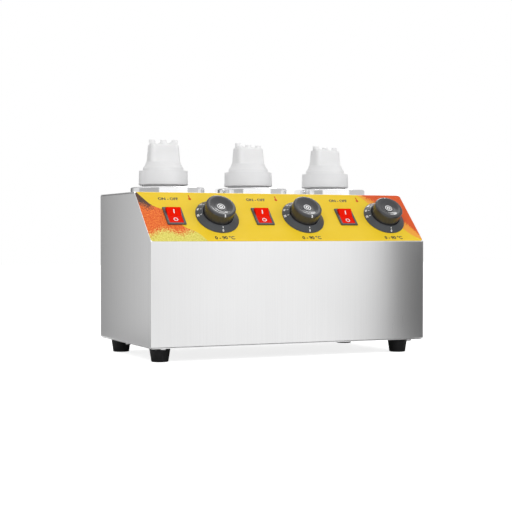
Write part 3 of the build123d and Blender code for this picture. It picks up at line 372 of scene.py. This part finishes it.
# Each slot's finish: name, dark tone, light tone, roughness and then what that kind of finish takes
FINISHES = {
    "casing_steel": sheet_steel(
        "brushed casing steel", (0.72, 0.72, 0.722), (0.87, 0.87, 0.872), 0.30, 900.0
    ),
    "well_steel": plain_metal(
        "polished well steel", (0.80, 0.80, 0.805), (0.88, 0.88, 0.885), 0.10, 28.0, 0.04, 0.02
    ),
    "control_print": printed_strip("printed control strip"),
    "screw_steel": plain_metal(
        "plated screw steel", (0.52, 0.52, 0.53), (0.72, 0.72, 0.73), 0.28
    ),
    "foot_rubber": moulded_plastic(
        "foot rubber", (0.006, 0.006, 0.007), (0.016, 0.016, 0.017), 0.62, 1500.0, 0.2,
        Specular_IOR_Level=0.35,
    ),
    "heater_sheath": plain_metal(
        "heater sheath steel", (0.24, 0.23, 0.22), (0.46, 0.45, 0.44), 0.42, 35.0
    ),
    "bulb_copper": plain_metal("drawn copper", (0.52, 0.20, 0.10), (0.80, 0.38, 0.22), 0.3),
    "terminal_brass": plain_metal("stamped brass", (0.62, 0.42, 0.14), (0.84, 0.64, 0.28), 0.28),
    "thermostat_case": moulded_plastic(
        "thermostat case", (0.55, 0.52, 0.44), (0.66, 0.63, 0.55), 0.5
    ),
    "dial_black": moulded_plastic(
        "dial plastic", (0.028, 0.031, 0.035), (0.052, 0.057, 0.063), 0.42
    ),
    "knob_black": moulded_plastic(
        "knob plastic", (0.028, 0.028, 0.030), (0.05, 0.05, 0.053), 0.20, 2600.0, 0.004
    ),
    "switch_black": moulded_plastic(
        "switch plastic", (0.045, 0.04, 0.04), (0.075, 0.066, 0.066), 0.36
    ),
    "rocker_red": moulded_plastic(
        "rocker plastic", (0.78, 0.008, 0.001), (0.88, 0.014, 0.002), 0.3, 2600.0, 0.03,
        Specular_IOR_Level=0.02,
    ),
    "bottle_white": moulded_plastic(
        "blown bottle plastic", (0.86, 0.86, 0.862), (0.92, 0.92, 0.922), 0.42, 1200.0, 0.06,
        **MILKY, **EVEN_SCATTER,
    ),
    "nozzle_white": moulded_plastic(
        "nozzle plastic", (0.86, 0.86, 0.862), (0.92, 0.92, 0.922), 0.42, 1200.0, 0.05,
        **MILKY, **EVEN_SCATTER,
    ),
    "ring_white": moulded_plastic(
        "screw ring plastic", (0.82, 0.82, 0.825), (0.89, 0.89, 0.895), 0.42, 1200.0, 0.05,
        **MILKY_RING, **EVEN_SCATTER,
    ),
    "gland_plastic": moulded_plastic("gland plastic", (0.028, 0.028, 0.03), (0.05, 0.05, 0.052), 0.45),
    "terminal_plastic": moulded_plastic(
        "terminal plastic", (0.68, 0.68, 0.66), (0.78, 0.78, 0.76), 0.42
    ),
    "wire_insulation": moulded_plastic("wire insulation", (0.55, 0.06, 0.04), (0.68, 0.10, 0.07), 0.4),
}
WHITE_PRINT = moulded_plastic("white print", (0.78, 0.78, 0.78), (0.88, 0.88, 0.88), 0.4)
BLACK_PRINT = moulded_plastic("black print", (0.008, 0.007, 0.006), (0.02, 0.017, 0.012), 0.45)
RED_PRINT = moulded_plastic(
    "red print", (0.58, 0.06, 0.006), (0.70, 0.10, 0.01), 0.42, Specular_IOR_Level=0.1
)

for part in frame["record"]["subparts"]:
    node = nodes[part["node"]]
    if not node.material_slots:
        node.data.materials.append(None)
    for slot in node.material_slots:
        slot.material = FINISHES[part["material_slot"]]


# ---------------------------------------------------------------- printed and inlaid work
def piece(name, work, material, body):
    """Object for finished mesh work, with its material and its body."""
    mesh = bpy.data.meshes.new(name)
    work.to_mesh(mesh)
    work.free()
    made = bpy.data.objects.new(name, mesh)
    bpy.context.scene.collection.objects.link(made)
    mesh.materials.append(material)
    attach(made, body)
    return made


def into(work, shape, placing):
    """Adds a shape's faces to a growing mesh at a placing, and frees the shape."""
    shape.transform(placing)
    mesh = bpy.data.meshes.new("part of a print")
    shape.to_mesh(mesh)
    work.from_mesh(mesh)
    bpy.data.meshes.remove(mesh)
    shape.free()


def lettering(words, height, thickness):
    """Mesh of short generic words or numbers, centred, lying on z = 0."""
    text = bpy.data.curves.new("lettering", "FONT")
    text.body = words
    text.size = height
    text.extrude = thickness / 2
    text.align_x = "CENTER"
    text.align_y = "CENTER"
    text.offset = height * LETTER_WEIGHT
    holder = bpy.data.objects.new("lettering", text)
    mesh = bpy.data.meshes.new_from_object(holder)
    shape = bmesh.new()
    shape.from_mesh(mesh)
    bpy.data.objects.remove(holder)
    bpy.data.curves.remove(text)
    bpy.data.meshes.remove(mesh)
    return shape


def bar(width, length, thickness, rounding=0.25):
    """Flat bar with rounded upright edges, centred, half above z = 0."""
    shape = bmesh.new()
    bmesh.ops.create_cube(shape, size=1.0)
    bmesh.ops.scale(shape, vec=(width, length, thickness), verts=shape.verts)
    upright = [e for e in shape.edges if abs(e.verts[0].co.z - e.verts[1].co.z) > thickness / 2]
    offset = min(width, length) * rounding
    bmesh.ops.bevel(shape, geom=upright, offset=offset, segments=4, affect="EDGES")
    return shape


def hoop(outer, inner, thickness, sides=48):
    """Flat ring, or a disc where inner is zero, half above z = 0."""
    shape = bmesh.new()
    rims = []
    for radius in (outer, inner) if inner else (outer,):
        for z in (thickness / 2, -thickness / 2):
            turns = [2 * pi * i / sides for i in range(sides)]
            places = [(radius * cos(turn), radius * sin(turn), z) for turn in turns]
            rims.append([shape.verts.new(place) for place in places])
    walls = [(rims[0], rims[1])]
    if inner:
        walls += [(rims[3], rims[2]), (rims[2], rims[0]), (rims[1], rims[3])]
    for top, low in walls:
        for i in range(sides):
            j = (i + 1) % sides
            shape.faces.new((top[i], low[i], low[j], top[j]))
    if not inner:
        shape.faces.new(rims[0])
        shape.faces.new(list(reversed(rims[1])))
    bmesh.ops.recalc_face_normals(shape, faces=shape.faces)
    return shape


def dial_scale(unit):
    """Ticks and plain numbers on the dial's cone, clockwise from its lowest point."""
    low_radius, low_height = CONE_LOW
    top_radius, top_height = CONE_HIGH
    work = bmesh.new()
    for degrees, number in SCALE.items():
        turn = radians(degrees)
        away = Vector((-sin(turn), 0.0, 0.0)) - SLOPE_UP * cos(turn)
        cone_out = (away * (low_height - top_height) / (top_radius - low_radius) + SLOPE_OUT)
        across = SLOPE_OUT.cross(-away)
        centre = strip_point(dial_x(unit), DIAL_RISE)

        def on_cone(radius):
            share = (low_radius - radius) / (low_radius - top_radius)
            height = low_height + share * (top_height - low_height)
            return seat(centre + away * radius + SLOPE_OUT * height, across, cone_out)

        into(work, bar(*TICK), on_cone(TICK_RADIUS))
        into(work, lettering(number, NUMBER_HEIGHT, MARK_THICKNESS), on_cone(NUMBER_RADIUS))
    piece(f"dial_scale_{unit}", work, WHITE_PRINT, "casing")


def knob_marks(unit):
    """White filling of the knob's pointer groove and the rings in the middle of its dish."""
    turn = radians(-KNOB_TURNS[unit])
    down = -SLOPE_UP * cos(turn) + Vector((sin(turn), 0.0, 0.0))
    across = SLOPE_OUT.cross(-down)
    centre = strip_point(dial_x(unit), DIAL_RISE)
    edge = centre + down * KNOB_EDGE[0] + SLOPE_OUT * KNOB_EDGE[1]
    work = bmesh.new()
    for degrees in POINTER_STEPS:
        lean = radians(degrees)
        out = down * sin(lean) + SLOPE_OUT * cos(lean)
        into(work, bar(*POINTER_BAR, rounding=0.05), seat(edge + out * POINTER_BEND, across, out))
    piece(f"knob_pointer_{unit}", work, WHITE_PRINT, f"knob_{unit}")
    work = bmesh.new()
    disc = centre + SLOPE_OUT * INLAY_HEIGHT
    for ring in INLAY_RINGS:
        into(work, hoop(*ring, MARK_THICKNESS), seat(disc, across, SLOPE_OUT))
    piece(f"knob_inlay_{unit}", work, WHITE_PRINT, f"knob_{unit}")


def rocker_marks(unit):
    """White bar on the rocker's upper face and ring on its lower one."""
    valley = strip_point(
        switch_x(unit),
        SWITCH_RISE - ROCKER_VALLEY * sin(ROCKER_TILT),
        ROCKER_PIVOT + ROCKER_VALLEY * cos(ROCKER_TILT),
    )
    rise = SLOPE_UP * cos(2 * ROCKER_TILT) + SLOPE_OUT * sin(2 * ROCKER_TILT)
    across = Vector((1.0, 0.0, 0.0))
    work = bmesh.new()
    on_upper = seat(valley + rise * ROCKER_BAR_RISE, across, across.cross(rise))
    on_lower = seat(valley - SLOPE_UP * ROCKER_RING_DROP, across, SLOPE_OUT)
    into(work, bar(*ROCKER_BAR, MARK_THICKNESS, rounding=0.15), on_upper)
    into(work, hoop(*ROCKER_RING, MARK_THICKNESS), on_lower)
    piece(f"rocker_marks_{unit}", work, WHITE_PRINT, f"rocker_{unit}")


def strip_marks(unit):
    """Plain captions of a switch and a dial, and a small thermometer sign."""
    across = Vector((1.0, 0.0, 0.0))
    work = bmesh.new()
    for words, u, v, height in CAPTIONS:
        place = strip_point(well_x(unit) + u * MM, v * MM, PRINT_FACE)
        into(work, lettering(words, height * MM, PRINT_THICKNESS), seat(place, across, SLOPE_OUT))
    piece(f"strip_captions_{unit}", work, BLACK_PRINT, "casing")
    work = bmesh.new()
    bulb = strip_point(well_x(unit), BULB_RISE, PRINT_FACE)
    stem = strip_point(well_x(unit), STEM_RISE, PRINT_FACE)
    into(work, hoop(BULB_RADIUS, 0.0, PRINT_THICKNESS), seat(bulb, across, SLOPE_OUT))
    into(work, bar(*STEM, rounding=0.45), seat(stem, across, SLOPE_OUT))
    piece(f"thermometer_sign_{unit}", work, RED_PRINT, "casing")


for unit in UNITS:
    dial_scale(unit)
    knob_marks(unit)
    rocker_marks(unit)
    strip_marks(unit)


# ---------------------------------------------------------------- studio
def stage_sheet(name, corners, material, seen=True):
    """Flat stage sheet through four corners; an unseen one only shows in reflections."""
    mesh = bpy.data.meshes.new(name)
    mesh.from_pydata(corners, [], [(0, 1, 2, 3)])
    mesh.materials.append(material)
    made = bpy.data.objects.new(name, mesh)
    bpy.context.scene.collection.objects.link(made)
    if not seen:
        made.visible_camera = False
        made.visible_shadow = False
        made.visible_diffuse = False
    return made


# Strength of the floor's glow in gloss and to the camera, and of the world's light on the object
FLOOR_GLOW = (0.45, 0.8)
FILL_LIGHT = 0.45


def seen_directly(tree, ray):
    """One for the rays of the camera, of gloss and through glass, and zero for the rest."""
    seen = calc(tree, "MAXIMUM", ray.outputs["Is Camera Ray"], ray.outputs["Is Glossy Ray"])
    return calc(tree, "MAXIMUM", seen, ray.outputs["Is Transmission Ray"])


def floor_paper():
    """White paper that keeps a shadow but reads as the white background to camera and gloss."""
    made = bpy.data.materials.new("white floor paper")
    made.use_nodes = True
    tree = made.node_tree
    tree.nodes.clear()
    paper = add(tree, "ShaderNodeBsdfDiffuse", Color=(0.9, 0.9, 0.9, 1.0))
    glow = add(tree, "ShaderNodeEmission")
    both = add(tree, "ShaderNodeAddShader")
    wire(tree, paper.outputs[0], both, 0)
    wire(tree, glow.outputs[0], both, 1)
    ray = add(tree, "ShaderNodeLightPath")
    wire(tree, spread(tree, ray.outputs["Is Camera Ray"], *FLOOR_GLOW), glow, "Strength")
    seen = seen_directly(tree, ray)
    mix = add(tree, "ShaderNodeMixShader")
    wire(tree, seen, mix, 0)
    wire(tree, paper.outputs[0], mix, 1)
    wire(tree, both.outputs[0], mix, 2)
    out = add(tree, "ShaderNodeOutputMaterial")
    wire(tree, mix.outputs[0], out, 0)
    return made


def reflector(name, first, last, span, along):
    """Glowing card whose grey goes from one value to another between two places along a direction."""
    made = bpy.data.materials.new(name)
    made.use_nodes = True
    tree = made.node_tree
    tree.nodes.clear()
    coords = add(tree, "ShaderNodeTexCoord")
    place = add(tree, "ShaderNodeVectorMath", operation="DOT_PRODUCT")
    wire(tree, coords.outputs["Object"], place, 0)
    place.inputs[1].default_value = along
    fade = add(tree, "ShaderNodeMapRange")
    wire(tree, place.outputs["Value"], fade, "Value")
    for socket, value in zip(("From Min", "From Max", "To Min", "To Max"), (*span, first, last)):
        fade.inputs[socket].default_value = value
    glow = add(tree, "ShaderNodeEmission", Color=(1.0, 1.0, 1.0, 1.0))
    wire(tree, fade.outputs[0], glow, "Strength")
    out = add(tree, "ShaderNodeOutputMaterial")
    wire(tree, glow.outputs[0], out, 0)
    return made


def studio_world():
    """World that is white to the camera, metal and plastic and a softer fill for everything else."""
    world = bpy.data.worlds.new("studio")
    bpy.context.scene.world = world
    world.use_nodes = True
    tree = world.node_tree
    tree.nodes.clear()
    seen = seen_directly(tree, add(tree, "ShaderNodeLightPath"))
    sky = add(tree, "ShaderNodeBackground", Color=(1.0, 1.0, 1.0, 1.0))
    wire(tree, spread(tree, seen, FILL_LIGHT, 1.0), sky, "Strength")
    out = add(tree, "ShaderNodeOutputWorld")
    wire(tree, sky.outputs[0], out, 0)


def softbox(name, place, aim, size, watts, mirrored=False):
    """Rectangular lamp that lights, or with mirrored only glints in gloss."""
    lamp = bpy.data.lights.new(name, "AREA")
    lamp.shape = "RECTANGLE"
    lamp.size, lamp.size_y = size
    lamp.energy = watts
    made = bpy.data.objects.new(name, lamp)
    made.location = place
    made.rotation_euler = (Vector(aim) - Vector(place)).to_track_quat("-Z", "Y").to_euler()
    bpy.context.scene.collection.objects.link(made)
    made.visible_glossy = mirrored
    made.visible_diffuse = not mirrored


def upright_card(start, end, height):
    """Corners of a card that stands on the floor between two places."""
    return [(*start, 0.0), (*end, 0.0), (*end, height), (*start, height)]


def floor_card(left, front, right, rear, height):
    """Corners of a card that lies just over the floor."""
    return [(left, front, height), (right, front, height), (right, rear, height), (left, rear, height)]


# Cards that only metal and plastic show: corners, first and last grey, the span between them and
# the direction that the span runs along
SIDEWAYS = (1.0, 0.0, 0.0)
CARDS = {
    "dark_card": (upright_card((0.24, -0.29), (0.95, -0.52), 0.21), 0.18, 0.05, (0.24, 0.40), SIDEWAYS),
    "near_card": (upright_card((-0.6, -0.9), (0.12, -0.9), 0.2), 0.66, 0.80, (-0.2, 0.12), SIDEWAYS),
    "grey_card": (upright_card((-0.75, 0.30), (-0.19, 0.30), 0.6), 0.82, 0.12, (-0.39, -0.22), SIDEWAYS),
    "front_card": (upright_card((-2.4, -2.2), (2.0, -2.2), 1.6), 1.12, 1.22, (0.0, 1.0), SIDEWAYS),
    "left_card": (upright_card((-2.4, 2.4), (-2.4, -2.2), 1.6), 0.5, 0.5, (0.0, 1.0), SIDEWAYS),
    "right_card": (upright_card((2.0, -2.2), (2.0, 2.4), 1.6), 0.66, 0.66, (0.0, 1.0), SIDEWAYS),
    "front_floor_card": (
        floor_card(-0.6, -2.1, 1.2, -0.14, 0.002), 1.0, 0.08, (0.0, 0.13), (0.87, 0.49, 0.0)
    ),
    "side_floor_card": (floor_card(-0.9, -0.1, -0.23, 0.3, 0.002), 0.62, 0.32, (-0.5, -0.23), SIDEWAYS),
    # Painted shade: a dark sheet under the casing stands in for the shaded floor beneath it, so the
    # lower edges mirror shade
    "painted_shade_under_card": (floor_card(-0.21, -0.13, 0.21, 0.11, 0.001), 0.04, 0.04, (0.0, 1.0), SIDEWAYS),
}
FLOOR_REACH = 5.0

# Softboxes: place, where they point, size and watts
MIDDLE = (0.0, 0.0, 0.15)
LIGHTING = {
    "key_softbox": ((-1.0, -1.7, 1.3), MIDDLE, (1.2, 1.2), 20.0),
    "fill_softbox": ((1.4, -1.3, 1.1), MIDDLE, (1.0, 1.0), 9.0),
    "back_softbox": ((0.0, 1.8, 1.6), MIDDLE, (1.6, 0.9), 7.0),
}
GLINTS = {
    "overhead_softbox": ((0.45, 0.0, 1.5), MIDDLE, (0.5, 0.4), 1.2),
    "crescent_softbox": ((0.64, 0.72, 1.37), (0.0, -0.1, 0.19), (0.8, 0.4), 6.5),
}

stage_sheet("floor", floor_card(-FLOOR_REACH, -FLOOR_REACH, FLOOR_REACH, FLOOR_REACH, 0), floor_paper())
for name, (corners, first, last, span, along) in CARDS.items():
    stage_sheet(name, corners, reflector(name.replace("_", " "), first, last, span, along), seen=False)
studio_world()
for name, box in LIGHTING.items():
    softbox(name, *box)
for name, box in GLINTS.items():
    softbox(name, *box, mirrored=True)

CAMERA_PLACE = (-0.7339, -1.6222, 0.1634)
CAMERA_PITCH = radians(89.05)
CAMERA_YAW = radians(-24.27)
lens = bpy.data.cameras.new("camera")
lens.sensor_width = 36.0
lens.lens = 88.9
camera = bpy.data.objects.new("camera", lens)
camera.location = CAMERA_PLACE
camera.rotation_euler = (CAMERA_PITCH, 0.0, CAMERA_YAW)
bpy.context.scene.collection.objects.link(camera)
bpy.context.scene.camera = camera
bpy.context.scene.view_settings.view_transform = "Standard"
